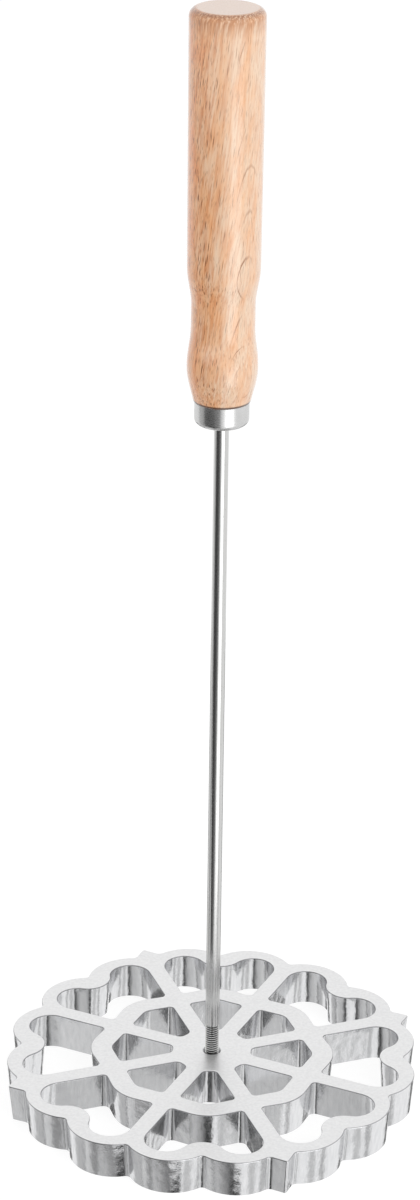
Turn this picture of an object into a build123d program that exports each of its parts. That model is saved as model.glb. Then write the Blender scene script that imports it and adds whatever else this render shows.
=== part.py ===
from build123d import *
import os
from math import atan, cos, degrees, floor, hypot, radians, sin, sqrt, tan

# Rosette iron: a cast aluminium rosette on a round steel rod with a turned beech handle.
# Millimetres. +Z runs up the rod, and the origin is the middle of the rosette's underside.

# Rosette. Its plan sizes are those of the top face.
CELL_COUNT = 8                    # heart-shaped cells, with a spoke between each two
ROSETTE_HEIGHT = 11.0
ROSETTE_RADIUS = 58.8             # axis to the tip of a rim lobe
DRAFT_INSET = 0.8                 # every upright wall draws in this far on its way to the underside
SPOKE_WIDTH = 5.2
RIM_WALL = 4.4
NOTCH_DEPTH = 4.3                 # between two rim lobes, before the notch is rounded
NOTCH_ROUNDING = 1.5
HEART_LOBE_ROUNDING = 6.0
TONGUE_DEPTH = 6.4                # how far the tongue between a heart's lobes reaches in
HUB_RADIUS = 11.4
HUB_END_ROUNDING = 2.0
RING_INNER_CORNER = 26.8          # the ring's faces, by their distance from the axis at a spoke
RING_OUTER_CORNER = 32.9
RING_INNER_TIP = 28.9             # and on the middle of a cell
RING_OUTER_TIP = 35.9             # before it is rounded
RING_TIP_ROUNDING = 4.0           # inside the ring
RING_OUTER_ROUNDING = 12.0
CELL_ROUNDING = 1.3               # upright corners where a spoke meets the ring
TAB_COUNT = 4                     # pointed casting tabs, on every other spoke end
TAB_REACH = 2.2                   # past the rim lobes
TAB_HALF_ANGLE = 43.0
TAB_TIP_ROUNDING = 0.6
TAB_FLARE_ROUNDING = 1.8          # where a tab's side leaves the rim
TOP_EDGE_ROUNDING = 0.35

# Rod
ROD_DIAMETER = 4.0
ROD_TIP_HEIGHT = 1.0              # the rod's lower end, over the rosette's underside
ROD_END_CHAMFER = 0.5
THREAD_PITCH = 0.7
THREAD_DEPTH = 0.4
THREAD_SHOWING = 8.4              # thread left bare over the rosette
THREAD_CLEARANCE = 0.05           # each side, between the rod and its hole in the rosette
COUNTERSINK_WIDTH = 0.65          # each side of the hole
COUNTERSINK_DEPTH = 0.7
TANG_LENGTH = 55.0                # rod inside the ferrule and the handle

# Ferrule: a pressed steel cup on the lower end of the handle
FERRULE_BASE_HEIGHT = 203.3       # its closed end, over the rosette's underside
FERRULE_DIAMETER = 14.6
FERRULE_HEIGHT = 6.4
FERRULE_WALL = 0.6
FERRULE_ROUNDING = 1.6            # outside edge of the closed end
ROD_CLEARANCE = 0.03              # each side, where the rod runs through the ferrule and the handle

# Handle: turned beech, with a bead over the ferrule and a waist under the grip.
# Its heights are over the shoulder that stands on the ferrule.
HANDLE_LENGTH = 105.3
HANDLE_END_DIAMETER = 19.8
HANDLE_END_ROUNDING = 2.3
HANDLE_GRIP_DIAMETER = 19.3       # where the grip begins, over the waist
HANDLE_GRIP_HEIGHT = 37.0
HANDLE_WAIST_DIAMETER = 16.9
HANDLE_WAIST_BOTTOM = 20.8
HANDLE_WAIST_TOP = 26.8
HANDLE_BEAD_DIAMETER = 18.9
HANDLE_BEAD_HEIGHT = 9.8
HANDLE_SHOULDER_OVERHANG = 0.35   # each side, past the ferrule
HANDLE_SHOULDER_ROUNDING = 0.5
TENON_CLEARANCE = 0.05            # each side, between the wooden tenon and the ferrule
TENON_END_GAP = 0.3
BORE_END_GAP = 1.0                # air past the rod's upper end

# Sizes that follow from those above
CELL_ANGLE = 360 / CELL_COUNT
LOBE_ANGLE = CELL_ANGLE / 2
TAB_ANGLE = 360 / TAB_COUNT
DRAFT_ANGLE = degrees(atan(DRAFT_INSET / ROSETTE_HEIGHT))
NOTCH_RADIUS = ROSETTE_RADIUS - NOTCH_DEPTH
TAB_RADIUS = ROSETTE_RADIUS + TAB_REACH
HEART_RADIUS = ROSETTE_RADIUS - RIM_WALL
HEART_LOBE_CENTRE = HEART_RADIUS - HEART_LOBE_ROUNDING
HOLE_RADIUS = ROD_DIAMETER / 2 + THREAD_CLEARANCE
COUNTERSINK_RADIUS = HOLE_RADIUS + COUNTERSINK_WIDTH
BORE_RADIUS = ROD_DIAMETER / 2 + ROD_CLEARANCE
TENON_RADIUS = FERRULE_DIAMETER / 2 - FERRULE_WALL - TENON_CLEARANCE
SHOULDER_RADIUS = FERRULE_DIAMETER / 2 + HANDLE_SHOULDER_OVERHANG
SHOULDER_HEIGHT = FERRULE_BASE_HEIGHT + FERRULE_HEIGHT
ROD_TOP_HEIGHT = FERRULE_BASE_HEIGHT + TANG_LENGTH
THREAD_TOP_HEIGHT = ROSETTE_HEIGHT + THREAD_SHOWING
FROM_BELOW = (Align.CENTER, Align.CENTER, Align.MIN)
FROM_ABOVE = (Align.CENTER, Align.CENTER, Align.MAX)
ROOM_SHARE = 0.95                 # most of a wall's room that a corner's rounding may take up
NEAR = 0.01                       # a corner or an edge this near its place counts as found there


def beside_spoke(along, offset, side):
    """Point of the cell on +X, by its place along one of its spokes and its offset into the cell."""
    spoke = radians(CELL_ANGLE / 2)
    x = along * cos(spoke) + offset * sin(spoke)
    y = along * sin(spoke) - offset * cos(spoke)
    return x, side * y


def spoke_face(radius, side):
    """Point of a spoke's side face at a distance from the axis."""
    half_width = SPOKE_WIDTH / 2
    return beside_spoke(sqrt(radius**2 - half_width**2), half_width, side)


def corners_at(sketch, radius):
    """The sketch's corners that lie at a distance from the axis."""
    return [corner for corner in sketch.vertices() if abs(hypot(corner.X, corner.Y) - radius) < NEAR]


def upright_edges(casting, nearest, farthest):
    """Edges that run from the underside to the top face, between two distances from the axis."""
    found = []
    for edge in casting.edges():
        middle = edge.center()
        upright = NEAR < middle.Z < ROSETTE_HEIGHT - NEAR
        if upright and nearest < hypot(middle.X, middle.Y) < farthest:
            found.append(edge)
    return found


def rim_lobe_radius():
    """Radius of the arc that runs from a notch over a lobe's tip to the next notch."""
    rise = ROSETTE_RADIUS - NOTCH_RADIUS * cos(radians(LOBE_ANGLE / 2))
    half_chord = NOTCH_RADIUS * sin(radians(LOBE_ANGLE / 2))
    return (half_chord**2 + rise**2) / (2 * rise)


def drafted_disc(radius):
    """Round solid as high as the rosette, with its radius at the top face."""
    return Cone(radius - DRAFT_INSET, radius, ROSETTE_HEIGHT, align=FROM_BELOW)


def drafted(outline, angle):
    """Solid from the top face's outline down to the underside, drawn in by an angle."""
    return Pos(0, 0, ROSETTE_HEIGHT) * extrude(outline, amount=-ROSETTE_HEIGHT, taper=angle)


def rim_lobe(index):
    """One lobe of the rim, with its seam turned to the hub."""
    radius = rim_lobe_radius()
    lobe = Pos(ROSETTE_RADIUS - radius, 0, 0) * Rot(0, 0, 180) * drafted_disc(radius)
    return Rot(0, 0, (index + 0.5) * LOBE_ANGLE) * lobe


def casting_tab(index):
    """One pointed tab, which reaches back into the rim."""
    half_width = (TAB_RADIUS - HEART_LOBE_CENTRE) * tan(radians(TAB_HALF_ANGLE))
    corners = [(HEART_LOBE_CENTRE, -half_width), (TAB_RADIUS, 0), (HEART_LOBE_CENTRE, half_width)]
    tab = drafted(make_face(Polyline(*corners, close=True)), DRAFT_ANGLE)
    return Rot(0, 0, CELL_ANGLE / 2 + index * TAB_ANGLE) * tab


def rim_blank():
    """The rosette before it is opened: two lobes to a cell, the tabs and their rounded corners."""
    blank = drafted_disc(HEART_LOBE_CENTRE)
    for index in range(2 * CELL_COUNT):
        blank += rim_lobe(index)
    for index in range(TAB_COUNT):
        blank += casting_tab(index)
    blank = fillet(upright_edges(blank, NOTCH_RADIUS, ROSETTE_RADIUS), TAB_FLARE_ROUNDING)
    blank = fillet(upright_edges(blank, ROSETTE_RADIUS, TAB_RADIUS), TAB_TIP_ROUNDING)
    return fillet(upright_edges(blank, 0, NOTCH_RADIUS), NOTCH_ROUNDING)


def inner_opening():
    """Opening between the hub, two spokes and the ring, in the cell on +X."""
    outline = make_face(Polyline(
        spoke_face(HUB_RADIUS, -1),
        spoke_face(RING_INNER_CORNER, -1),
        (RING_INNER_TIP, 0),
        spoke_face(RING_INNER_CORNER, 1),
        spoke_face(HUB_RADIUS, 1),
        close=True,
    ))
    half_end = spoke_face(HUB_RADIUS, 1)[1]
    half_turn = radians(90 - CELL_ANGLE / 2) / 2
    end_rounding = min(HUB_END_ROUNDING, ROOM_SHARE * half_end / tan(half_turn))
    outline = fillet(corners_at(outline, HUB_RADIUS), end_rounding)
    outline = fillet(corners_at(outline, RING_INNER_TIP), RING_TIP_ROUNDING)
    return fillet(corners_at(outline, RING_INNER_CORNER), CELL_ROUNDING)


def tongue_rounding(tip_ahead, lobe_y):
    """Radius that lets the tongue touch both lobes, with its tip this far ahead of their centres."""
    spare = tip_ahead**2 + lobe_y**2 - HEART_LOBE_ROUNDING**2
    return spare / (2 * (HEART_LOBE_ROUNDING - tip_ahead))


def heart_opening():
    """Heart-shaped opening between the ring, two spokes and the rim, in the cell on +X."""
    lobe_offset = SPOKE_WIDTH / 2 + HEART_LOBE_ROUNDING
    lobe_along = sqrt(HEART_LOBE_CENTRE**2 - lobe_offset**2)
    lobe_x, lobe_y = beside_spoke(lobe_along, lobe_offset, 1)
    reach = HEART_RADIUS / HEART_LOBE_CENTRE
    side_low = beside_spoke(lobe_along, SPOKE_WIDTH / 2, -1)
    side_high = beside_spoke(lobe_along, SPOKE_WIDTH / 2, 1)
    tongue_tip = HEART_RADIUS - TONGUE_DEPTH
    tongue_radius = tongue_rounding(tongue_tip - lobe_x, lobe_y)
    share = tongue_radius / (HEART_LOBE_ROUNDING + tongue_radius)
    touch_x = tongue_tip + tongue_radius + (lobe_x - tongue_tip - tongue_radius) * share
    touch_y = lobe_y * share
    outline = make_face(Wire([
        Line(spoke_face(RING_OUTER_CORNER, -1), side_low),
        ThreePointArc(side_low, (lobe_x * reach, -lobe_y * reach), (touch_x, -touch_y)),
        ThreePointArc((touch_x, -touch_y), (tongue_tip, 0), (touch_x, touch_y)),
        ThreePointArc((touch_x, touch_y), (lobe_x * reach, lobe_y * reach), side_high),
        Line(side_high, spoke_face(RING_OUTER_CORNER, 1)),
        Line(spoke_face(RING_OUTER_CORNER, 1), (RING_OUTER_TIP, 0)),
        Line((RING_OUTER_TIP, 0), spoke_face(RING_OUTER_CORNER, -1)),
    ]))
    outline = fillet(corners_at(outline, RING_OUTER_TIP), RING_OUTER_ROUNDING)
    return fillet(corners_at(outline, RING_OUTER_CORNER), CELL_ROUNDING)


def rod_hole():
    """Hole through the hub, with its countersink in the top face."""
    hole = Cylinder(HOLE_RADIUS, ROSETTE_HEIGHT, align=FROM_BELOW)
    sink = Cone(HOLE_RADIUS, COUNTERSINK_RADIUS, COUNTERSINK_DEPTH)
    return hole + Pos(0, 0, ROSETTE_HEIGHT - COUNTERSINK_DEPTH / 2) * sink


def make_rosette():
    """The cast head: hub, spokes, ring and lobed rim, with an inner and a heart opening to a cell."""
    casting = rim_blank() - rod_hole()
    openings = [drafted(inner_opening(), -DRAFT_ANGLE), drafted(heart_opening(), -DRAFT_ANGLE)]
    for index in range(CELL_COUNT):
        for opening in openings:
            casting -= Rot(0, 0, index * CELL_ANGLE) * opening
    top_face = casting.faces().sort_by(Axis.Z)[-1]
    cast_edges = [edge for edge in top_face.edges() if edge.center().length > HUB_RADIUS / 2]
    return fillet(cast_edges, TOP_EDGE_ROUNDING)


def make_rod():
    """Round steel rod: bare shank, with rings for the thread's turns on its lower end."""
    radius = ROD_DIAMETER / 2
    root = radius - THREAD_DEPTH
    thread_bottom = ROD_TIP_HEIGHT + ROD_END_CHAMFER
    turns = floor((THREAD_TOP_HEIGHT - thread_bottom) / THREAD_PITCH)
    outline = [(0, ROD_TIP_HEIGHT), (radius - ROD_END_CHAMFER, ROD_TIP_HEIGHT)]
    for turn in range(turns):
        crest = THREAD_TOP_HEIGHT - (turns - turn) * THREAD_PITCH
        outline.append((radius, crest))
        outline.append((radius, crest + THREAD_PITCH / 4))
        outline.append((root, crest + THREAD_PITCH / 2))
        outline.append((root, crest + THREAD_PITCH * 3 / 4))
    outline.append((radius, THREAD_TOP_HEIGHT))
    outline.append((radius, ROD_TOP_HEIGHT - ROD_END_CHAMFER))
    outline.append((radius - ROD_END_CHAMFER, ROD_TOP_HEIGHT))
    outline.append((0, ROD_TOP_HEIGHT))
    section = make_face(Plane.XZ * Polyline(*outline, close=True))
    return revolve(section, Axis.Z)


def make_ferrule():
    """Pressed cup with a rounded closed end and a hole for the rod."""
    cup = Cylinder(FERRULE_DIAMETER / 2, FERRULE_HEIGHT, align=FROM_BELOW)
    cup = fillet(cup.edges().sort_by(Axis.Z)[0], FERRULE_ROUNDING)
    hollow = Cylinder(FERRULE_DIAMETER / 2 - FERRULE_WALL, FERRULE_HEIGHT, align=FROM_BELOW)
    hollow = fillet(hollow.edges().sort_by(Axis.Z)[0], FERRULE_ROUNDING - FERRULE_WALL)
    cup -= Pos(0, 0, FERRULE_WALL) * hollow
    cup -= Cylinder(BORE_RADIUS, FERRULE_WALL, align=FROM_BELOW)
    return Pos(0, 0, FERRULE_BASE_HEIGHT) * cup


def handle_body():
    """The turned handle over its shoulder, before it is bored, with the shoulder at height 0."""
    shoulder = (SHOULDER_RADIUS, 0)
    bead = (HANDLE_BEAD_DIAMETER / 2, HANDLE_BEAD_HEIGHT)
    waist_bottom = (HANDLE_WAIST_DIAMETER / 2, HANDLE_WAIST_BOTTOM)
    waist_top = (HANDLE_WAIST_DIAMETER / 2, HANDLE_WAIST_TOP)
    grip = (HANDLE_GRIP_DIAMETER / 2, HANDLE_GRIP_HEIGHT)
    end = (HANDLE_END_DIAMETER / 2, HANDLE_LENGTH)
    flare = (bead[0] - shoulder[0], bead[1] - shoulder[1])
    upright = (0, 1)
    section = make_face(Plane.XZ * Wire([
        Line((0, 0), shoulder),
        Spline(shoulder, bead, tangents=(flare, upright)),
        Spline(bead, waist_bottom, tangents=(upright, upright)),
        Line(waist_bottom, waist_top),
        Spline(waist_top, grip, tangents=(upright, upright)),
        Line(grip, end),
        Line(end, (0, HANDLE_LENGTH)),
        Line((0, HANDLE_LENGTH), (0, 0)),
    ]))
    body = revolve(section, Axis.Z)
    rims = body.edges().filter_by(GeomType.CIRCLE).sort_by(Axis.Z)
    body = fillet(rims[-1], HANDLE_END_ROUNDING)
    rims = body.edges().filter_by(GeomType.CIRCLE).sort_by(Axis.Z)
    return fillet(rims[0], HANDLE_SHOULDER_ROUNDING)


def make_handle():
    """Turned handle with the tenon that fills the ferrule, bored for the rod."""
    tenon_length = FERRULE_HEIGHT - FERRULE_WALL - TENON_END_GAP
    tenon = Cylinder(TENON_RADIUS, tenon_length, align=FROM_ABOVE)
    tenon = chamfer(tenon.edges().sort_by(Axis.Z)[0], FERRULE_ROUNDING - FERRULE_WALL)
    handle = handle_body() + tenon
    bore_depth = ROD_TOP_HEIGHT + BORE_END_GAP - SHOULDER_HEIGHT + tenon_length
    handle -= Pos(0, 0, -tenon_length) * Cylinder(BORE_RADIUS, bore_depth, align=FROM_BELOW)
    return Pos(0, 0, SHOULDER_HEIGHT) * handle


def main():
    os.makedirs("parts", exist_ok=True)
    nodes = {
        "rosette": make_rosette(),
        "rod": make_rod(),
        "ferrule": make_ferrule(),
        "handle": make_handle(),
    }
    for name, shape in nodes.items():
        export_step(shape, f"parts/{name}.step")


main()
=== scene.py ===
import math

import bpy
from mathutils import Matrix, Vector


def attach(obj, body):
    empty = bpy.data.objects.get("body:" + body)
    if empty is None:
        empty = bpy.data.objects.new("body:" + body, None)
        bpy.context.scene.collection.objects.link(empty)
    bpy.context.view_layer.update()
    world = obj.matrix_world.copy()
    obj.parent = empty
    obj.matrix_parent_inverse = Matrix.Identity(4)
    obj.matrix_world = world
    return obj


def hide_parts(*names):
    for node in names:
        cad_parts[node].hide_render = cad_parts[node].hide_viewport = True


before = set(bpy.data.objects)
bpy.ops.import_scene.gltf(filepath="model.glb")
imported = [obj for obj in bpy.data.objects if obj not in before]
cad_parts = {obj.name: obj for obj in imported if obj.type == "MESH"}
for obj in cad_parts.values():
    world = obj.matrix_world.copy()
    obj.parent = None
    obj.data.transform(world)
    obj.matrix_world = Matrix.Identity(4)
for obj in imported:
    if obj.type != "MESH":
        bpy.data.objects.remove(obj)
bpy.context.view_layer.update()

# Rosette iron, in metres: a cast aluminium head on a steel rod, with a turned beech handle.
# Every size below is in millimetres, and every angle in degrees, unless its comment says otherwise.
# Shares run from 0 to 1, and shades are sRGB hex values.
MM = 0.001

# Camera, where the photograph was taken from
CAMERA_PLACE = Vector((33.1, -857.5, 533.4)) * MM
CAMERA_HEADING = 2.37             # turned left from +Y
CAMERA_TILT = 66.04               # 90 would be level
CAMERA_ROLL = 0.82
CAMERA_LENS = 104.3               # for a sensor of 36 mm on the picture's long side
SENSOR = 36.0

# Studio
WORLD_LIGHT = 0.85                # level of the light from all round; the background itself is 1
FLOOR_SIZE = 6000.0
FLOOR_LEVEL = 0.85                # grey of the lit part of the floor
FLOOR_WHITE_SHARE = 0.75          # the rest of the floor's brightness is lit, and keeps the shadow
FLOOR_WHITE = 1.13                # makes up for the lit share, so that the floor comes out at 1
KEY_POWER = 5.6                   # watts
KEY_SIZE = 800.0
KEY_PLACE = Vector((750, -750, 850)) * MM
KEY_AIM = Vector((0, 0, 150)) * MM

# Cards that only the reflections show. Azimuths are seen from the rod, with the camera at 0 and
# the right side positive, and a level of 1 is as bright as the background.
CARDS = [
    # name, azimuth from, azimuth to, distance, lowest, highest, level
    ("softbox", 15, 51, 800, -360, 85, 2.3),
    ("black_flag", -78, -28, 500, -600, 150, 0.08),
    ("grey_flag", -28, -3, 510, -600, 150, 0.2),
    ("side_flag", -108, -78, 510, -600, 150, 0.55),
    ("right_foot", 30, 48, 780, -1000, -370, 0.6),
    ("right_gap", 61, 72, 500, -600, -200, 0.45),
    ("rear_flag_left", -154, -136, 600, -800, -130, 0.08),
    ("rear_flag_right", 136, 154, 600, -800, -130, 0.08),
]

# Low card in front of the head, which gives its walls their dark bands
LOW_CARD_DISTANCE = 117.0
LOW_CARD_LEFT = -350.0
LOW_CARD_RIGHT = 25.0
LOW_CARD_LOWEST = -300.0
LOW_CARD_HIGHEST = -47.0
LOW_CARD_STOPS = [
    # distance from its right end, level
    (0, 0.015),
    (28, 0.03),
    (44, 0.30),
    (78, 0.57),
    (135, 0.62),
    (375, 0.90),
]

# Small flag before the low card. Only the lobes on the left mirror it.
LEFT_FLAG_DISTANCE = 115.0
LEFT_FLAG_LEFT = -145.0
LEFT_FLAG_RIGHT = -82.0
LEFT_FLAG_LOWEST = -102.0
LEFT_FLAG_HIGHEST = -47.0
LEFT_FLAG_LEVEL = 0.3

# Dark card flat under the object. Only roundings that look down mirror it, such as the ferrule's.
GROUND_CARD_RADIUS = 190.0
GROUND_CARD_HEIGHT = -300.0
GROUND_CARD_LEVEL = 0.22

# Rod: 4 mm bar with a rolled M4 thread on its lower end
ROD_RADIUS = 2.0
ROD_LOW = 1.0
ROD_HIGH = 258.3
ROD_CHAMFER = 0.5
ROD_SIDES = 64
SMOOTH_UNDER = 30.0               # edges that turn by less are shaded smooth
THREAD_PITCH = 0.7
THREAD_ROOT_RADIUS = 1.6
THREAD_CREST_RADIUS = 1.985       # a hair under the bar, so that the last turn sinks into it
THREAD_CREST_WIDTH = 0.2          # rolled crests, worn a little flat
THREAD_FOOT_RADIUS = 1.5          # the tooth's foot is sunk in the core
THREAD_FOOT_WIDTH = 0.6
THREAD_TOP = 19.4
THREAD_RUN_OUT = 0.5
ENVELOPE_MARGIN = 0.05            # the tool that trims the thread's start stands this far off the bar

# Cast aluminium: how wide its marks are, and how high they stand
CAST_WAVE = 2.6
CAST_WAVE_HEIGHT = 0.09
CAST_GRAIN = 0.6
CAST_GRAIN_HEIGHT = 0.028
CAST_DRAW_MARK = 0.9
CAST_DRAW_LENGTH = 4.0
CAST_DRAW_HEIGHT = 0.008
GROUND_GRAIN = 0.8
GROUND_HEIGHT = 0.004
GROUND_TILT = (0.55, 0.9)         # upright part of the normal, from cast wall to ground face
EDGE_PAINTED_SHADOW_TILT = (0.15, 0.4, 0.9)      # the same, where the painted shadow line along an edge starts, peaks and ends
EDGE_PAINTED_SHADOW_SHARE = 0.9
PAINTED_SHADE_REACH = 3.2                # how near a second wall must stand for painted shade in the corner
PAINTED_SHADE_OPENNESS = (0.4, 0.9)      # painted shade is full in a corner below the first, and gone above the second
CORNER_SAMPLES = 8                # rays that feel for the second wall
CAST_ROUGHNESS = (0.10, 0.26)
GROUND_ROUGHNESS = (0.32, 0.46)
CAST_SHADES = ("D6D7D9", "EFEFF0")
GROUND_SHADES = ("DADADB", "F4F4F4")
# painted shadow along the rounded edges, and painted shade in the narrow corners
EDGE_PAINTED_SHADOW = "5E5F62"
PAINTED_SHADE_IN_CORNERS = "424347"

# Drawn stainless steel
DRAW_LINE = 0.16                  # drawn coarser than the real hundredths, so that it shows
DRAW_LENGTH = 30.0
DRAW_HEIGHT = 0.0015
PIT_SPACING = 0.9
PIT_EDGE = (0.06, 0.13)           # share of the spacing at which a pit ends, and the bar is whole
PIT_DEPTH = 0.004
ROOT_SHADE_RADIUS = 1.66                # painted shade in the thread's roots reaches this far out
ROOT_SHADE_GONE_RADIUS = 1.84               # and is gone by here
BAR_ROUGHNESS = (0.08, 0.22)
BAR_SHADES = ("C4C4C3", "D9D9D8")
PIT_SHADE = "77756F"
# painted shade in the thread's roots
ROOT_PAINTED_SHADE = "3F3E3D"

# Pressed stainless steel
PRESS_LINE = 0.14                 # drawn coarser than the real hundredths, so that it shows
PRESS_LENGTH = 8.4
PRESS_HEIGHT = 0.0015
CUP_CLOUD = 3.0
CUP_ROUGHNESS = (0.20, 0.34)
CUP_SHADES = ("C6C6C5", "D8D8D8")

# Growth rings of the beech
RING_SPACING = 0.9
RING_LEAN = 4.5                   # the trunk leans this much from the handle's axis
BARK_SIDE = -46.0                 # azimuth from +X toward the trunk's bark, where the rings lie flat
PITH_DISTANCE = 70.0
RING_SHOWS_TO = 30.0              # the rings show this far round from the bark side, plainest in half of it
RING_WOBBLE = 0.4
WOBBLE_ACROSS = 9.0
WOBBLE_ALONG = 34.0
LATE_WOOD = (0.88, 0.95)          # share of a ring at which its dark line starts and peaks
RING_PATCHES = (0.44, 0.54)       # levels of the wobble between which a patch of rings comes up

# Long grain of the beech
GRAIN_LEAN = 7.0                  # rays and fibres lean this much from the axis, toward +X
FLECKS = [
    # one stands in each space this wide, its stretch along the grain, its share of the width, its depth
    (0.55, 15.0, 0.20, 1.0),      # the spindles of the wood's rays
    (0.32, 9.0, 0.24, 0.6),       # pores, drawn coarser than the real tenths so that they show
]
FLECK_EDGE = (1.3, 0.6)           # multiples of its share at which a fleck starts, and is at its darkest
FIBRE_ACROSS = 0.42
FIBRE_ALONG = 9.0
FIBRE_LEVELS = (0.42, 0.66)       # levels of the noise at which a fibre starts to show, and is full
FIBRE_SHARE = 0.8
TONE_ACROSS = 2.4
TONE_ALONG = 11.0
TONE_CONTRAST = 0.95
MARK_SIDES = (0.2, 0.9)           # cosines of the angle from the bark side, between which marks fade
MARK_BARK_SHARE = 0.45            # what is left of fibres and flecks on the bark side
SHEEN_AND_PALE_FROM = -4.0                 # toward the bark, the side that faces the softbox, the tone is lifted from this far off the axis: the wood's own paler tone and a painted sheen
SHEEN_AND_PALE_TO = 9.0                    # to this far
SHEEN_AND_PALE_LIFT = (0.01, 0.42)         # what is added to its tone at those two distances
FIBRE_HEIGHT = 0.010
FLECK_HEIGHT = -0.008             # rays and pores are sunk a little
WOOD_IOR = 1.5
WOOD_ROUGHNESS = (0.12, 0.30)
VARNISH_ROUGHNESS = 0.12
WOOD_DARKEST = "D8703B"
WOOD_SHADES = [
    # tone, shade
    (0.3, "EA955D"),
    (0.6, "EAB182"),
]
WOOD_PALEST = "E7CAAE"
FIBRE_SHADE = "C57A47"
RING_SHADE = "90562E"
FLECK_SHADE = "6E3917"

# Ends of the handle
HANDLE_TOP = 315.0
BROWNED_EDGE = 6.0                # the wood is browner this far down from its end, most in the last third
BROWNED_SHARE = 0.7
SCALLOPS = (0.3, 0.55)            # levels of the fibres at which the brown at the end comes and goes
END_TILT = (0.975, 0.997)         # upright part of the normal, from the rounding to the cut end
WORN_TILT = (0.5, 0.9, 0.996)     # the same, where the dark of the worn edge starts, peaks and ends
WORN_SHARE = 0.85
SHOULDER_HEIGHT = 209.7           # the wood's foot on the ferrule
FOOT_SHADOW_LINE = 0.6                   # a painted shadow line in the gap there, and half as much again to fade
FOOT_SHADOW_SHARE = 0.95
BROWNED_SHADE = "AE6E3C"
END_SHADES = ("C4A088", "DABEA9")
WORN_SHADE = "8A5633"
# painted shadow line at the wood's foot
FOOT_PAINTED_SHADOW = "4F3222"


def colour(hex_text):
    """Linear colour of an sRGB hex value."""
    linear = []
    for start in (0, 2, 4):
        value = int(hex_text[start:start + 2], 16) / 255
        linear.append(value / 12.92 if value <= 0.04045 else ((value + 0.055) / 1.055) ** 2.4)
    return (*linear, 1)


def grey(level):
    return (level, level, level, 1)


def scale_for(across, along):
    """Scale of a pattern whose marks have this width and this length along Z, in millimetres."""
    return (1 / (across * MM), 1 / (across * MM), 1 / (along * MM))


def add(tree, kind, inputs=None, **settings):
    """Adds a node with its settings. An input that is given a socket is linked to it."""
    made = tree.nodes.new(kind)
    for name, value in settings.items():
        setattr(made, name, value)
    for socket, value in (inputs or {}).items():
        if isinstance(value, bpy.types.NodeSocket):
            tree.links.new(value, made.inputs[socket])
        else:
            made.inputs[socket].default_value = value
    return made


def empty_tree(owner):
    owner.use_nodes = True
    owner.node_tree.nodes.clear()
    return owner.node_tree


def make_camera():
    data = bpy.data.cameras.new("camera")
    data.lens = CAMERA_LENS
    data.sensor_width = SENSOR
    camera = bpy.data.objects.new("camera", data)
    bpy.context.scene.collection.objects.link(camera)
    turned = Matrix.Rotation(math.radians(CAMERA_HEADING), 4, "Z")
    tilted = Matrix.Rotation(math.radians(CAMERA_TILT), 4, "X")
    rolled = Matrix.Rotation(math.radians(CAMERA_ROLL), 4, "Z")
    camera.matrix_world = Matrix.Translation(CAMERA_PLACE) @ turned @ tilted @ rolled
    bpy.context.scene.camera = camera


def make_world():
    """White behind the object and in what it mirrors, and a plainer level for the light on it."""
    world = bpy.data.worlds.new("studio")
    bpy.context.scene.world = world
    tree = empty_tree(world)
    path = add(tree, "ShaderNodeLightPath").outputs
    mirrored = add(tree, "ShaderNodeMath", {0: path["Is Glossy Ray"], 1: path["Is Transmission Ray"]},
                   operation="MAXIMUM").outputs[0]
    seen = add(tree, "ShaderNodeMath", {0: path["Is Camera Ray"], 1: mirrored},
               operation="MAXIMUM").outputs[0]
    light = add(tree, "ShaderNodeBackground", {"Color": grey(1), "Strength": WORLD_LIGHT}).outputs[0]
    white = add(tree, "ShaderNodeBackground", {"Color": grey(1), "Strength": 1.0}).outputs[0]
    shown = add(tree, "ShaderNodeMixShader", {0: seen, 1: light, 2: white}).outputs[0]
    add(tree, "ShaderNodeOutputWorld", {"Surface": shown})


def make_floor():
    """Pale floor, white to the camera but for the object's soft shadow. Metal mirrors the white behind."""
    bpy.ops.mesh.primitive_plane_add(size=FLOOR_SIZE * MM)
    floor = bpy.context.object
    floor.name = "floor"
    floor.visible_glossy = False
    material = bpy.data.materials.new("white_sweep")
    tree = empty_tree(material)
    lit = add(tree, "ShaderNodeBsdfDiffuse", {"Color": grey(FLOOR_LEVEL)}).outputs[0]
    white = add(tree, "ShaderNodeEmission", {"Color": grey(1), "Strength": FLOOR_WHITE}).outputs[0]
    path = add(tree, "ShaderNodeLightPath").outputs
    share = add(tree, "ShaderNodeMath", {0: path["Is Camera Ray"], 1: FLOOR_WHITE_SHARE},
                operation="MULTIPLY").outputs[0]
    shown = add(tree, "ShaderNodeMixShader", {0: share, 1: lit, 2: white}).outputs[0]
    add(tree, "ShaderNodeOutputMaterial", {"Surface": shown})
    floor.data.materials.append(material)


def stand_card(name, left, right, lowest, highest):
    """Upright card between two points of the ground plan."""
    bpy.ops.mesh.primitive_plane_add(size=1)
    card = bpy.context.object
    card.name = name
    across = right - left
    middle = (left + right) / 2
    heading = math.atan2(across.y, across.x)
    place = Matrix.Translation(Vector((middle.x, middle.y, (lowest + highest) / 2)) * MM)
    upright = Matrix.Rotation(heading, 4, "Z") @ Matrix.Rotation(math.radians(90), 4, "X")
    size = Matrix.Diagonal((across.length * MM, (highest - lowest) * MM, 1, 1))
    card.matrix_world = place @ upright @ size
    return card


def light_card(card, level):
    """Gives a card its level of light, and hides it from all but reflections."""
    material = bpy.data.materials.new(card.name)
    tree = empty_tree(material)
    glow = add(tree, "ShaderNodeEmission", {"Color": grey(1), "Strength": level}).outputs[0]
    add(tree, "ShaderNodeOutputMaterial", {"Surface": glow})
    material.cycles.emission_sampling = "NONE"
    card.data.materials.append(material)
    card.visible_camera = False
    card.visible_diffuse = False
    card.visible_transmission = False
    card.visible_shadow = False
    return tree


def make_cards():
    """The studio's flags and softbox."""
    toward_camera = math.atan2(CAMERA_PLACE.y, CAMERA_PLACE.x)
    for name, start, end, distance, lowest, highest, level in CARDS:
        ends = []
        for azimuth in (start, end):
            angle = toward_camera + math.radians(azimuth)
            ends.append(Vector((math.cos(angle), math.sin(angle))) * distance)
        light_card(stand_card(name, ends[0], ends[1], lowest, highest), level)


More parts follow.
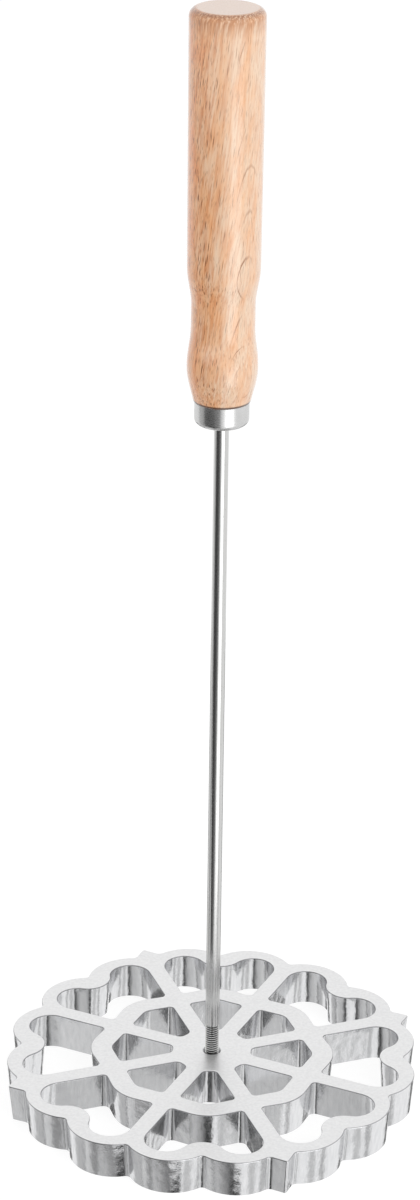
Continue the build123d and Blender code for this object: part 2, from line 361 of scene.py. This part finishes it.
def make_low_card():
    """The low card in front of the head, dark at its right end."""
    left = Vector((LOW_CARD_LEFT, -LOW_CARD_DISTANCE))
    right = Vector((LOW_CARD_RIGHT, -LOW_CARD_DISTANCE))
    card = stand_card("low_card", left, right, LOW_CARD_LOWEST, LOW_CARD_HIGHEST)
    tree = light_card(card, 1.0)
    on_card = add(tree, "ShaderNodeTexCoord").outputs["UV"]
    along = add(tree, "ShaderNodeSeparateXYZ", {0: on_card}).outputs["X"]
    level = add(tree, "ShaderNodeValToRGB", {"Fac": along})
    stops = level.color_ramp.elements
    for distance, brightness in LOW_CARD_STOPS[1:-1]:
        stops.new(1 - distance / (LOW_CARD_RIGHT - LOW_CARD_LEFT)).color = grey(brightness)
    stops[-1].color = grey(LOW_CARD_STOPS[0][1])
    stops[0].color = grey(LOW_CARD_STOPS[-1][1])
    tree.links.new(level.outputs["Color"], tree.nodes["Emission"].inputs["Color"])


def make_left_flag():
    left = Vector((LEFT_FLAG_LEFT, -LEFT_FLAG_DISTANCE))
    right = Vector((LEFT_FLAG_RIGHT, -LEFT_FLAG_DISTANCE))
    light_card(stand_card("left_flag", left, right, LEFT_FLAG_LOWEST, LEFT_FLAG_HIGHEST), LEFT_FLAG_LEVEL)


def make_ground_card():
    bpy.ops.mesh.primitive_circle_add(radius=GROUND_CARD_RADIUS * MM, fill_type="NGON",
                                      location=(0, 0, GROUND_CARD_HEIGHT * MM))
    bpy.context.object.name = "ground_card"
    light_card(bpy.context.object, GROUND_CARD_LEVEL)


def make_key_lamp():
    """One large soft lamp, above and to the right of the camera."""
    data = bpy.data.lights.new("key", "AREA")
    data.shape = "SQUARE"
    data.size = KEY_SIZE * MM
    data.energy = KEY_POWER
    lamp = bpy.data.objects.new("key", data)
    bpy.context.scene.collection.objects.link(lamp)
    aim = KEY_AIM - KEY_PLACE
    lamp.matrix_world = Matrix.Translation(KEY_PLACE) @ aim.to_track_quat("-Z", "Y").to_matrix().to_4x4()
    lamp.visible_glossy = False
    lamp.visible_camera = False


def cast_aluminium():
    """Sand-cast aluminium whose flat faces were ground. The ground faces are a pale, even satin. The
    upright walls keep the mould's grain and waves, which break up what they mirror. Painted shade darkens
    their narrow corners, and a painted shadow line runs along the rounded edges."""
    material = bpy.data.materials.new("cast_aluminium")
    tree = empty_tree(material)
    coordinates = add(tree, "ShaderNodeTexCoord").outputs
    place = coordinates["Object"]
    upward = add(tree, "ShaderNodeSeparateXYZ", {0: coordinates["Normal"]}).outputs["Z"]
    level = add(tree, "ShaderNodeMath", {0: upward}, operation="ABSOLUTE").outputs[0]
    ground = add(tree, "ShaderNodeMapRange", {
        "Value": level, "From Min": GROUND_TILT[0], "From Max": GROUND_TILT[1]}).outputs[0]

    wave = add(tree, "ShaderNodeTexNoise", {
        "Vector": place, "Scale": 1 / (CAST_WAVE * MM), "Detail": 0.5}).outputs["Fac"]
    grain = add(tree, "ShaderNodeTexNoise", {
        "Vector": place, "Scale": 1 / (CAST_GRAIN * MM), "Detail": 2.0}).outputs["Fac"]
    drawn = add(tree, "ShaderNodeMapping", {
        "Vector": place, "Scale": scale_for(CAST_DRAW_MARK, CAST_DRAW_LENGTH)}).outputs[0]
    marks = add(tree, "ShaderNodeTexNoise", {"Vector": drawn, "Scale": 1.0, "Detail": 3.0}).outputs["Fac"]
    rubbed = add(tree, "ShaderNodeTexNoise", {
        "Vector": place, "Scale": 1 / (GROUND_GRAIN * MM), "Detail": 2.5}).outputs["Fac"]

    waves = add(tree, "ShaderNodeMath", {0: wave, 1: CAST_WAVE_HEIGHT}, operation="MULTIPLY").outputs[0]
    grains = add(tree, "ShaderNodeMath", {0: grain, 1: CAST_GRAIN_HEIGHT, 2: waves},
                 operation="MULTIPLY_ADD").outputs[0]
    cast_height = add(tree, "ShaderNodeMath", {0: marks, 1: CAST_DRAW_HEIGHT, 2: grains},
                      operation="MULTIPLY_ADD").outputs[0]
    ground_height = add(tree, "ShaderNodeMath", {0: rubbed, 1: GROUND_HEIGHT},
                        operation="MULTIPLY").outputs[0]
    height = add(tree, "ShaderNodeMix", {0: ground, 2: cast_height, 3: ground_height}).outputs[0]
    bump = add(tree, "ShaderNodeBump", {"Height": height, "Distance": MM, "Strength": 1.0}).outputs[0]

    skin = add(tree, "ShaderNodeMix", {0: marks, 6: colour(CAST_SHADES[0]), 7: colour(CAST_SHADES[1])},
               data_type="RGBA").outputs[2]
    satin = add(tree, "ShaderNodeMix", {
        0: rubbed, 6: colour(GROUND_SHADES[0]), 7: colour(GROUND_SHADES[1])},
        data_type="RGBA").outputs[2]
    faced = add(tree, "ShaderNodeMix", {0: ground, 6: skin, 7: satin}, data_type="RGBA").outputs[2]
    # painted shadow: a dark line along the rounded edges between the ground faces and the walls
    edge = add(tree, "ShaderNodeValToRGB", {"Fac": level})
    edge.color_ramp.elements[0].position = EDGE_PAINTED_SHADOW_TILT[0]
    edge.color_ramp.elements[1].position = EDGE_PAINTED_SHADOW_TILT[2]
    edge.color_ramp.elements[0].color = grey(0)
    edge.color_ramp.elements[1].color = grey(0)
    edge.color_ramp.elements.new(EDGE_PAINTED_SHADOW_TILT[1]).color = grey(EDGE_PAINTED_SHADOW_SHARE)
    edge_shadow_and_wear = add(tree, "ShaderNodeMix", {0: edge.outputs["Color"], 6: faced, 7: colour(EDGE_PAINTED_SHADOW)},
                data_type="RGBA").outputs[2]
    # painted shade: darker where a second wall stands near, in the corners
    openness = add(tree, "ShaderNodeAmbientOcclusion", {"Distance": PAINTED_SHADE_REACH * MM},
                   samples=CORNER_SAMPLES, only_local=True).outputs["AO"]
    corner = add(tree, "ShaderNodeMapRange", {
        "Value": openness, "From Min": PAINTED_SHADE_OPENNESS[0], "From Max": PAINTED_SHADE_OPENNESS[1],
        "To Min": 1.0, "To Max": 0.0}).outputs[0]
    base = add(tree, "ShaderNodeMix", {0: corner, 6: edge_shadow_and_wear, 7: colour(PAINTED_SHADE_IN_CORNERS)},
               data_type="RGBA").outputs[2]

    cast_rough = add(tree, "ShaderNodeMapRange", {
        "Value": grain, "To Min": CAST_ROUGHNESS[0], "To Max": CAST_ROUGHNESS[1]}).outputs[0]
    ground_rough = add(tree, "ShaderNodeMapRange", {
        "Value": rubbed, "To Min": GROUND_ROUGHNESS[0], "To Max": GROUND_ROUGHNESS[1]}).outputs[0]
    rough = add(tree, "ShaderNodeMix", {0: ground, 2: cast_rough, 3: ground_rough}).outputs[0]
    shader = add(tree, "ShaderNodeBsdfPrincipled", {
        "Base Color": base, "Metallic": 1.0, "Roughness": rough, "Normal": bump}).outputs[0]
    add(tree, "ShaderNodeOutputMaterial", {"Surface": shader})
    return material


def drawn_steel():
    """Bright drawn stainless bar. Draw lines run along it, and the thread's roots are darkened with painted
    shade.
    """
    material = bpy.data.materials.new("drawn_stainless_steel")
    tree = empty_tree(material)
    place = add(tree, "ShaderNodeTexCoord").outputs["Object"]
    drawn = add(tree, "ShaderNodeMapping", {
        "Vector": place, "Scale": scale_for(DRAW_LINE, DRAW_LENGTH)}).outputs[0]
    lines = add(tree, "ShaderNodeTexNoise", {"Vector": drawn, "Scale": 1.0, "Detail": 3.0}).outputs["Fac"]
    pits = add(tree, "ShaderNodeTexVoronoi", {
        "Vector": place, "Scale": 1 / (PIT_SPACING * MM)}).outputs["Distance"]
    whole = add(tree, "ShaderNodeMapRange", {
        "Value": pits, "From Min": PIT_EDGE[0], "From Max": PIT_EDGE[1]}).outputs[0]
    flat = add(tree, "ShaderNodeVectorMath", {0: place, 1: (1, 1, 0)}, operation="MULTIPLY").outputs[0]
    radius = add(tree, "ShaderNodeVectorMath", {0: flat}, operation="LENGTH").outputs["Value"]
    # painted shade in the thread's roots, gone toward the crests
    unshaded = add(tree, "ShaderNodeMapRange", {
        "Value": radius, "From Min": ROOT_SHADE_RADIUS * MM, "From Max": ROOT_SHADE_GONE_RADIUS * MM}).outputs[0]

    bar = add(tree, "ShaderNodeMix", {0: lines, 6: colour(BAR_SHADES[0]), 7: colour(BAR_SHADES[1])},
              data_type="RGBA").outputs[2]
    pitted = add(tree, "ShaderNodeMix", {0: whole, 6: colour(PIT_SHADE), 7: bar},
                 data_type="RGBA").outputs[2]
    base = add(tree, "ShaderNodeMix", {0: unshaded, 6: colour(ROOT_PAINTED_SHADE), 7: pitted},
               data_type="RGBA").outputs[2]
    rough = add(tree, "ShaderNodeMapRange", {
        "Value": lines, "To Min": BAR_ROUGHNESS[0], "To Max": BAR_ROUGHNESS[1]}).outputs[0]
    over_pits = add(tree, "ShaderNodeMath", {0: whole, 1: PIT_DEPTH}, operation="MULTIPLY").outputs[0]
    height = add(tree, "ShaderNodeMath", {0: lines, 1: DRAW_HEIGHT, 2: over_pits},
                 operation="MULTIPLY_ADD").outputs[0]
    bump = add(tree, "ShaderNodeBump", {"Height": height, "Distance": MM, "Strength": 1.0}).outputs[0]
    shader = add(tree, "ShaderNodeBsdfPrincipled", {
        "Base Color": base, "Metallic": 1.0, "Roughness": rough, "Normal": bump}).outputs[0]
    add(tree, "ShaderNodeOutputMaterial", {"Surface": shader})
    return material


def pressed_steel():
    """Stainless cup, deep drawn from sheet and polished as it turned, so fine lines run round it."""
    material = bpy.data.materials.new("pressed_stainless_steel")
    tree = empty_tree(material)
    place = add(tree, "ShaderNodeTexCoord").outputs["Object"]
    turned = add(tree, "ShaderNodeMapping", {
        "Vector": place, "Scale": scale_for(PRESS_LENGTH, PRESS_LINE)}).outputs[0]
    lines = add(tree, "ShaderNodeTexNoise", {"Vector": turned, "Scale": 1.0, "Detail": 3.0}).outputs["Fac"]
    cloud = add(tree, "ShaderNodeTexNoise", {
        "Vector": place, "Scale": 1 / (CUP_CLOUD * MM), "Detail": 2.0}).outputs["Fac"]
    base = add(tree, "ShaderNodeMix", {0: cloud, 6: colour(CUP_SHADES[0]), 7: colour(CUP_SHADES[1])},
               data_type="RGBA").outputs[2]
    rough = add(tree, "ShaderNodeMapRange", {
        "Value": lines, "To Min": CUP_ROUGHNESS[0], "To Max": CUP_ROUGHNESS[1]}).outputs[0]
    height = add(tree, "ShaderNodeMath", {0: lines, 1: PRESS_HEIGHT}, operation="MULTIPLY").outputs[0]
    bump = add(tree, "ShaderNodeBump", {"Height": height, "Distance": MM, "Strength": 1.0}).outputs[0]
    shader = add(tree, "ShaderNodeBsdfPrincipled", {
        "Base Color": base, "Metallic": 1.0, "Roughness": rough, "Normal": bump}).outputs[0]
    add(tree, "ShaderNodeOutputMaterial", {"Surface": shader})
    return material


def bark_side(tree, place):
    """Place turned so that x points to the bark, that x alone, and the cosine of the angle from it."""
    aligned = add(tree, "ShaderNodeMapping", {
        "Vector": place, "Rotation": (0, 0, math.radians(-BARK_SIDE))}).outputs[0]
    outward = add(tree, "ShaderNodeSeparateXYZ", {0: aligned}).outputs["X"]
    flat = add(tree, "ShaderNodeVectorMath", {0: place, 1: (1, 1, 0)}, operation="MULTIPLY").outputs[0]
    from_axis = add(tree, "ShaderNodeVectorMath", {0: flat}, operation="LENGTH").outputs["Value"]
    barkward = add(tree, "ShaderNodeMath", {0: outward, 1: from_axis}, operation="DIVIDE").outputs[0]
    return aligned, outward, barkward


def growth_rings(tree, place, aligned, barkward):
    """Thin dark lines of late wood, in patches, where the rings lie flat to the surface."""
    # the trunk's own axis as z, which leans and lies the pith's distance away
    trunk = add(tree, "ShaderNodeMapping", {
        "Vector": aligned, "Rotation": (0, math.radians(-RING_LEAN), 0),
        "Location": (PITH_DISTANCE * MM, 0, 0)}).outputs[0]
    wobble_place = add(tree, "ShaderNodeMapping", {
        "Vector": place, "Scale": scale_for(WOBBLE_ACROSS, WOBBLE_ALONG)}).outputs[0]
    wobble = add(tree, "ShaderNodeTexNoise", {
        "Vector": wobble_place, "Scale": 1.0, "Detail": 2.0}).outputs["Fac"]
    across = add(tree, "ShaderNodeVectorMath", {0: trunk, 1: (1, 1, 0)}, operation="MULTIPLY").outputs[0]
    depth = add(tree, "ShaderNodeVectorMath", {0: across}, operation="LENGTH").outputs["Value"]
    wander = add(tree, "ShaderNodeMath", {0: wobble, 1: 2 * RING_WOBBLE / RING_SPACING},
                 operation="MULTIPLY").outputs[0]
    rings = add(tree, "ShaderNodeMath", {0: depth, 1: 1 / (RING_SPACING * MM), 2: wander},
                operation="MULTIPLY_ADD").outputs[0]
    season = add(tree, "ShaderNodeMath", {0: rings}, operation="FRACT").outputs[0]
    late = add(tree, "ShaderNodeValToRGB", {"Fac": season})
    late.color_ramp.elements[0].position = LATE_WOOD[0]
    late.color_ramp.elements[0].color = grey(0)
    late.color_ramp.elements[1].position = LATE_WOOD[1]
    late.color_ramp.elements[1].color = grey(1)
    late.color_ramp.elements.new(1.0).color = grey(0)

    flat_side = add(tree, "ShaderNodeMapRange", {
        "Value": barkward, "From Min": math.cos(math.radians(RING_SHOWS_TO)),
        "From Max": math.cos(math.radians(RING_SHOWS_TO / 2))}).outputs[0]
    patches = add(tree, "ShaderNodeMapRange", {
        "Value": wobble, "From Min": RING_PATCHES[0], "From Max": RING_PATCHES[1]}).outputs[0]
    shown = add(tree, "ShaderNodeMath", {0: flat_side, 1: patches}, operation="MULTIPLY").outputs[0]
    return add(tree, "ShaderNodeMath", {0: late.outputs["Color"], 1: shown},
               operation="MULTIPLY").outputs[0]


def long_grain(tree, place):
    """Flecks of the rays and pores, fibres, and slow changes of tone, all along the leaning grain."""
    leant = add(tree, "ShaderNodeMapping", {
        "Vector": place, "Rotation": (0, math.radians(-GRAIN_LEAN), 0)}).outputs[0]
    layers = []
    for across, stretch, share, depth in FLECKS:
        spaced = add(tree, "ShaderNodeMapping", {
            "Vector": leant, "Scale": scale_for(across, across * stretch)}).outputs[0]
        spindles = add(tree, "ShaderNodeTexVoronoi", {"Vector": spaced, "Scale": 1.0}).outputs["Distance"]
        layers.append(add(tree, "ShaderNodeMapRange", {
            "Value": spindles, "From Min": share * FLECK_EDGE[0], "From Max": share * FLECK_EDGE[1],
            "To Max": depth}).outputs[0])
    flecks = add(tree, "ShaderNodeMath", {0: layers[0], 1: layers[1]}, operation="MAXIMUM").outputs[0]
    fibre_place = add(tree, "ShaderNodeMapping", {
        "Vector": leant, "Scale": scale_for(FIBRE_ACROSS, FIBRE_ALONG)}).outputs[0]
    fibres = add(tree, "ShaderNodeTexNoise", {
        "Vector": fibre_place, "Scale": 1.0, "Detail": 5.0}).outputs["Fac"]
    tone_place = add(tree, "ShaderNodeMapping", {
        "Vector": leant, "Scale": scale_for(TONE_ACROSS, TONE_ALONG)}).outputs[0]
    tones = add(tree, "ShaderNodeTexNoise", {
        "Vector": tone_place, "Scale": 1.0, "Detail": 3.0}).outputs["Fac"]
    return flecks, fibres, tones


def wood_colour(tree, outward, barkward, rings, flecks, fibres, tones):
    """Colour of the wood along the grain, with fainter marks toward the bark. It is paler there too, partly
    the wood's own tone and partly a painted sheen on the side that faces the softbox.
    """
    # painted sheen: the side toward the softbox is lifted paler, together with the wood's own paler tone
    # toward the bark
    paler = add(tree, "ShaderNodeMapRange", {
        "Value": outward, "From Min": SHEEN_AND_PALE_FROM * MM, "From Max": SHEEN_AND_PALE_TO * MM,
        "To Min": SHEEN_AND_PALE_LIFT[0], "To Max": SHEEN_AND_PALE_LIFT[1]}).outputs[0]
    tone = add(tree, "ShaderNodeMath", {0: tones, 1: TONE_CONTRAST, 2: paler},
               operation="MULTIPLY_ADD", use_clamp=True).outputs[0]
    wood = add(tree, "ShaderNodeValToRGB", {"Fac": tone})
    wood.color_ramp.elements[0].color = colour(WOOD_DARKEST)
    wood.color_ramp.elements[1].color = colour(WOOD_PALEST)
    for level, shade in WOOD_SHADES:
        wood.color_ramp.elements.new(level).color = colour(shade)

    marked = add(tree, "ShaderNodeMapRange", {
        "Value": barkward, "From Min": MARK_SIDES[0], "From Max": MARK_SIDES[1],
        "To Min": 1.0, "To Max": MARK_BARK_SHARE}).outputs[0]
    fibre_share = add(tree, "ShaderNodeMapRange", {
        "Value": fibres, "From Min": FIBRE_LEVELS[0], "From Max": FIBRE_LEVELS[1],
        "To Min": 0.0, "To Max": FIBRE_SHARE}).outputs[0]
    fibre_depth = add(tree, "ShaderNodeMath", {0: fibre_share, 1: marked}, operation="MULTIPLY").outputs[0]
    fibred = add(tree, "ShaderNodeMix", {
        0: fibre_depth, 6: wood.outputs["Color"], 7: colour(FIBRE_SHADE)}, data_type="RGBA").outputs[2]
    ringed = add(tree, "ShaderNodeMix", {0: rings, 6: fibred, 7: colour(RING_SHADE)},
                 data_type="RGBA").outputs[2]
    fleck_share = add(tree, "ShaderNodeMath", {0: flecks, 1: marked}, operation="MULTIPLY").outputs[0]
    return add(tree, "ShaderNodeMix", {0: fleck_share, 6: ringed, 7: colour(FLECK_SHADE)},
               data_type="RGBA").outputs[2]


def end_colour(tree, coordinates, wood, fibres):
    """Browner wood and a dark worn edge at the handle's pale cut end, and a painted shadow line at its
    foot.
    """
    scallops = add(tree, "ShaderNodeMapRange", {
        "Value": fibres, "From Min": SCALLOPS[0], "From Max": SCALLOPS[1]}).outputs[0]
    height_on_it = add(tree, "ShaderNodeSeparateXYZ", {0: coordinates["Object"]}).outputs["Z"]
    near_end = add(tree, "ShaderNodeMapRange", {
        "Value": height_on_it, "From Min": (HANDLE_TOP - BROWNED_EDGE) * MM,
        "From Max": (HANDLE_TOP - BROWNED_EDGE / 3) * MM, "To Max": BROWNED_SHARE}).outputs[0]
    brown_share = add(tree, "ShaderNodeMath", {0: near_end, 1: scallops}, operation="MULTIPLY").outputs[0]
    browned = add(tree, "ShaderNodeMix", {0: brown_share, 6: wood, 7: colour(BROWNED_SHADE)},
                  data_type="RGBA").outputs[2]

    upward = add(tree, "ShaderNodeSeparateXYZ", {0: coordinates["Normal"]}).outputs["Z"]
    cut = add(tree, "ShaderNodeMapRange", {
        "Value": upward, "From Min": END_TILT[0], "From Max": END_TILT[1]}).outputs[0]
    end_grain = add(tree, "ShaderNodeMix", {0: fibres, 6: colour(END_SHADES[0]), 7: colour(END_SHADES[1])},
                    data_type="RGBA").outputs[2]
    ended = add(tree, "ShaderNodeMix", {0: cut, 6: browned, 7: end_grain}, data_type="RGBA").outputs[2]

    worn = add(tree, "ShaderNodeValToRGB", {"Fac": upward})
    worn.color_ramp.elements[0].position = WORN_TILT[0]
    worn.color_ramp.elements[1].position = WORN_TILT[2]
    worn.color_ramp.elements[0].color = grey(0)
    worn.color_ramp.elements[1].color = grey(0)
    worn.color_ramp.elements.new(WORN_TILT[1]).color = grey(WORN_SHARE)
    worn_share = add(tree, "ShaderNodeMath", {0: worn.outputs["Color"], 1: scallops},
                     operation="MULTIPLY").outputs[0]
    edge_shadow_and_wear = add(tree, "ShaderNodeMix", {0: worn_share, 6: ended, 7: colour(WORN_SHADE)},
                data_type="RGBA").outputs[2]

    # painted shadow in the gap between the wood's foot and the ferrule
    foot = add(tree, "ShaderNodeMapRange", {
        "Value": height_on_it, "From Min": (SHOULDER_HEIGHT + FOOT_SHADOW_LINE) * MM,
        "From Max": (SHOULDER_HEIGHT + 1.5 * FOOT_SHADOW_LINE) * MM,
        "To Min": FOOT_SHADOW_SHARE, "To Max": 0.0}).outputs[0]
    return add(tree, "ShaderNodeMix", {0: foot, 6: edge_shadow_and_wear, 7: colour(FOOT_PAINTED_SHADOW)},
               data_type="RGBA").outputs[2]


def turned_beech():
    """Steamed beech, turned, sanded and thinly varnished. Short dark rays lie along the grain, thin growth
    rings arch where they lie flat to the surface, and the cut end is paler with a darker rounded edge."""
    material = bpy.data.materials.new("varnished_beech")
    tree = empty_tree(material)
    coordinates = add(tree, "ShaderNodeTexCoord").outputs
    place = coordinates["Object"]
    aligned, outward, barkward = bark_side(tree, place)
    rings = growth_rings(tree, place, aligned, barkward)
    flecks, fibres, tones = long_grain(tree, place)
    wood = wood_colour(tree, outward, barkward, rings, flecks, fibres, tones)
    base = end_colour(tree, coordinates, wood, fibres)

    rough = add(tree, "ShaderNodeMapRange", {
        "Value": fibres, "To Min": WOOD_ROUGHNESS[0], "To Max": WOOD_ROUGHNESS[1]}).outputs[0]
    sunk = add(tree, "ShaderNodeMath", {0: flecks, 1: FLECK_HEIGHT}, operation="MULTIPLY").outputs[0]
    height = add(tree, "ShaderNodeMath", {0: fibres, 1: FIBRE_HEIGHT, 2: sunk},
                 operation="MULTIPLY_ADD").outputs[0]
    bump = add(tree, "ShaderNodeBump", {"Height": height, "Distance": MM, "Strength": 1.0}).outputs[0]
    shader = add(tree, "ShaderNodeBsdfPrincipled", {
        "Base Color": base, "Roughness": rough, "IOR": WOOD_IOR, "Normal": bump,
        "Coat Weight": 1.0, "Coat Roughness": VARNISH_ROUGHNESS}).outputs[0]
    add(tree, "ShaderNodeOutputMaterial", {"Surface": shader})
    return material


def start_edit(radius, height):
    """Starts a round piece from a filled circle, in edit mode."""
    bpy.ops.object.select_all(action="DESELECT")
    bpy.ops.mesh.primitive_circle_add(vertices=ROD_SIDES, radius=radius * MM, fill_type="NGON",
                                      location=(0, 0, height * MM))
    bpy.ops.object.transform_apply(location=True)
    bpy.ops.object.mode_set(mode="EDIT")
    bpy.ops.mesh.select_all(action="SELECT")


def raise_end(height, widening=1.0):
    """Extrudes the selected end face upward by a height, and widens or narrows it."""
    bpy.ops.mesh.extrude_region_move(TRANSFORM_OT_translate={"value": (0, 0, height * MM)})
    bpy.ops.transform.resize(value=(widening, widening, 1))


def end_edit(name):
    """Leaves edit mode with every face turned outward, and returns the piece."""
    bpy.ops.mesh.select_all(action="SELECT")
    bpy.ops.mesh.normals_make_consistent(inside=False)
    bpy.ops.object.mode_set(mode="OBJECT")
    piece = bpy.context.object
    piece.name = name
    piece.data.name = name
    return piece


def cut_with(piece, tool, operation):
    """Joins a tool solid to a piece or keeps only what both hold, and removes the tool."""
    modifier = piece.modifiers.new("join", "BOOLEAN")
    modifier.object = tool
    modifier.operation = operation
    modifier.solver = "EXACT"
    bpy.context.view_layer.objects.active = piece
    bpy.ops.object.modifier_apply(modifier=modifier.name)
    bpy.data.objects.remove(tool)


def make_thread():
    """One tooth's section, swept up a helix and closed at both ends."""
    bpy.ops.object.select_all(action="DESELECT")
    bpy.ops.mesh.primitive_circle_add(vertices=4, radius=MM, fill_type="NOTHING")
    tooth = bpy.context.object
    foot = THREAD_FOOT_WIDTH / 2
    crest = THREAD_CREST_WIDTH / 2
    corners = [(THREAD_FOOT_RADIUS, -foot), (THREAD_CREST_RADIUS, -crest),
               (THREAD_CREST_RADIUS, crest), (THREAD_FOOT_RADIUS, foot)]
    for corner, (radius, height) in zip(tooth.data.vertices, corners):
        corner.co = Vector((radius, 0, ROD_LOW + height)) * MM
    sweep = tooth.modifiers.new("helix", "SCREW")
    sweep.axis = "Z"
    sweep.screw_offset = THREAD_PITCH * MM
    sweep.iterations = round((THREAD_TOP + THREAD_RUN_OUT - ROD_LOW) / THREAD_PITCH)
    sweep.steps = ROD_SIDES
    sweep.render_steps = ROD_SIDES
    sweep.use_smooth_shade = False
    bpy.ops.object.modifier_apply(modifier=sweep.name)
    bpy.ops.object.mode_set(mode="EDIT")
    bpy.ops.mesh.select_all(action="DESELECT")
    bpy.ops.mesh.select_mode(type="EDGE")
    bpy.ops.mesh.select_non_manifold()
    bpy.ops.mesh.fill()
    return end_edit("thread")


def make_bar():
    """The core of the thread, and the plain bar above it, with a chamfer on each end."""
    start_edit(THREAD_ROOT_RADIUS - ROD_CHAMFER, ROD_LOW)
    raise_end(ROD_CHAMFER, THREAD_ROOT_RADIUS / (THREAD_ROOT_RADIUS - ROD_CHAMFER))
    raise_end(THREAD_TOP - ROD_LOW - ROD_CHAMFER)
    raise_end(THREAD_RUN_OUT, ROD_RADIUS / THREAD_ROOT_RADIUS)
    raise_end(ROD_HIGH - ROD_CHAMFER - THREAD_TOP - THREAD_RUN_OUT)
    raise_end(ROD_CHAMFER, 1 - ROD_CHAMFER / ROD_RADIUS)
    return end_edit("threaded_rod")


def make_envelope():
    """A tool that keeps all of the rod, and trims the thread's start to the chamfer of its end."""
    start_edit(ROD_RADIUS - ROD_CHAMFER, ROD_LOW)
    raise_end(ROD_CHAMFER + ENVELOPE_MARGIN, (ROD_RADIUS + ENVELOPE_MARGIN) / (ROD_RADIUS - ROD_CHAMFER))
    raise_end(ROD_HIGH - ROD_LOW)
    return end_edit("envelope")


def make_rod():
    """The rod with its thread, in place of the CAD rod."""
    rod = make_bar()
    cut_with(rod, make_thread(), "UNION")
    cut_with(rod, make_envelope(), "INTERSECT")
    bpy.ops.object.select_all(action="DESELECT")
    rod.select_set(True)
    bpy.context.view_layer.objects.active = rod
    bpy.ops.object.shade_smooth_by_angle(angle=math.radians(SMOOTH_UNDER))
    rod.data.materials.clear()
    rod.data.materials.append(drawn_steel())
    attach(rod, "grip")
    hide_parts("rod")


def paint(node, material):
    """Gives a CAD node its finish."""
    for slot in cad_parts[node].material_slots:
        slot.material = material


make_camera()
make_world()
make_floor()
make_cards()
make_low_card()
make_left_flag()
make_ground_card()
make_key_lamp()
make_rod()
paint("rosette", cast_aluminium())
paint("ferrule", pressed_steel())
paint("handle", turned_beech())

bpy.context.scene.view_settings.view_transform = "Standard"
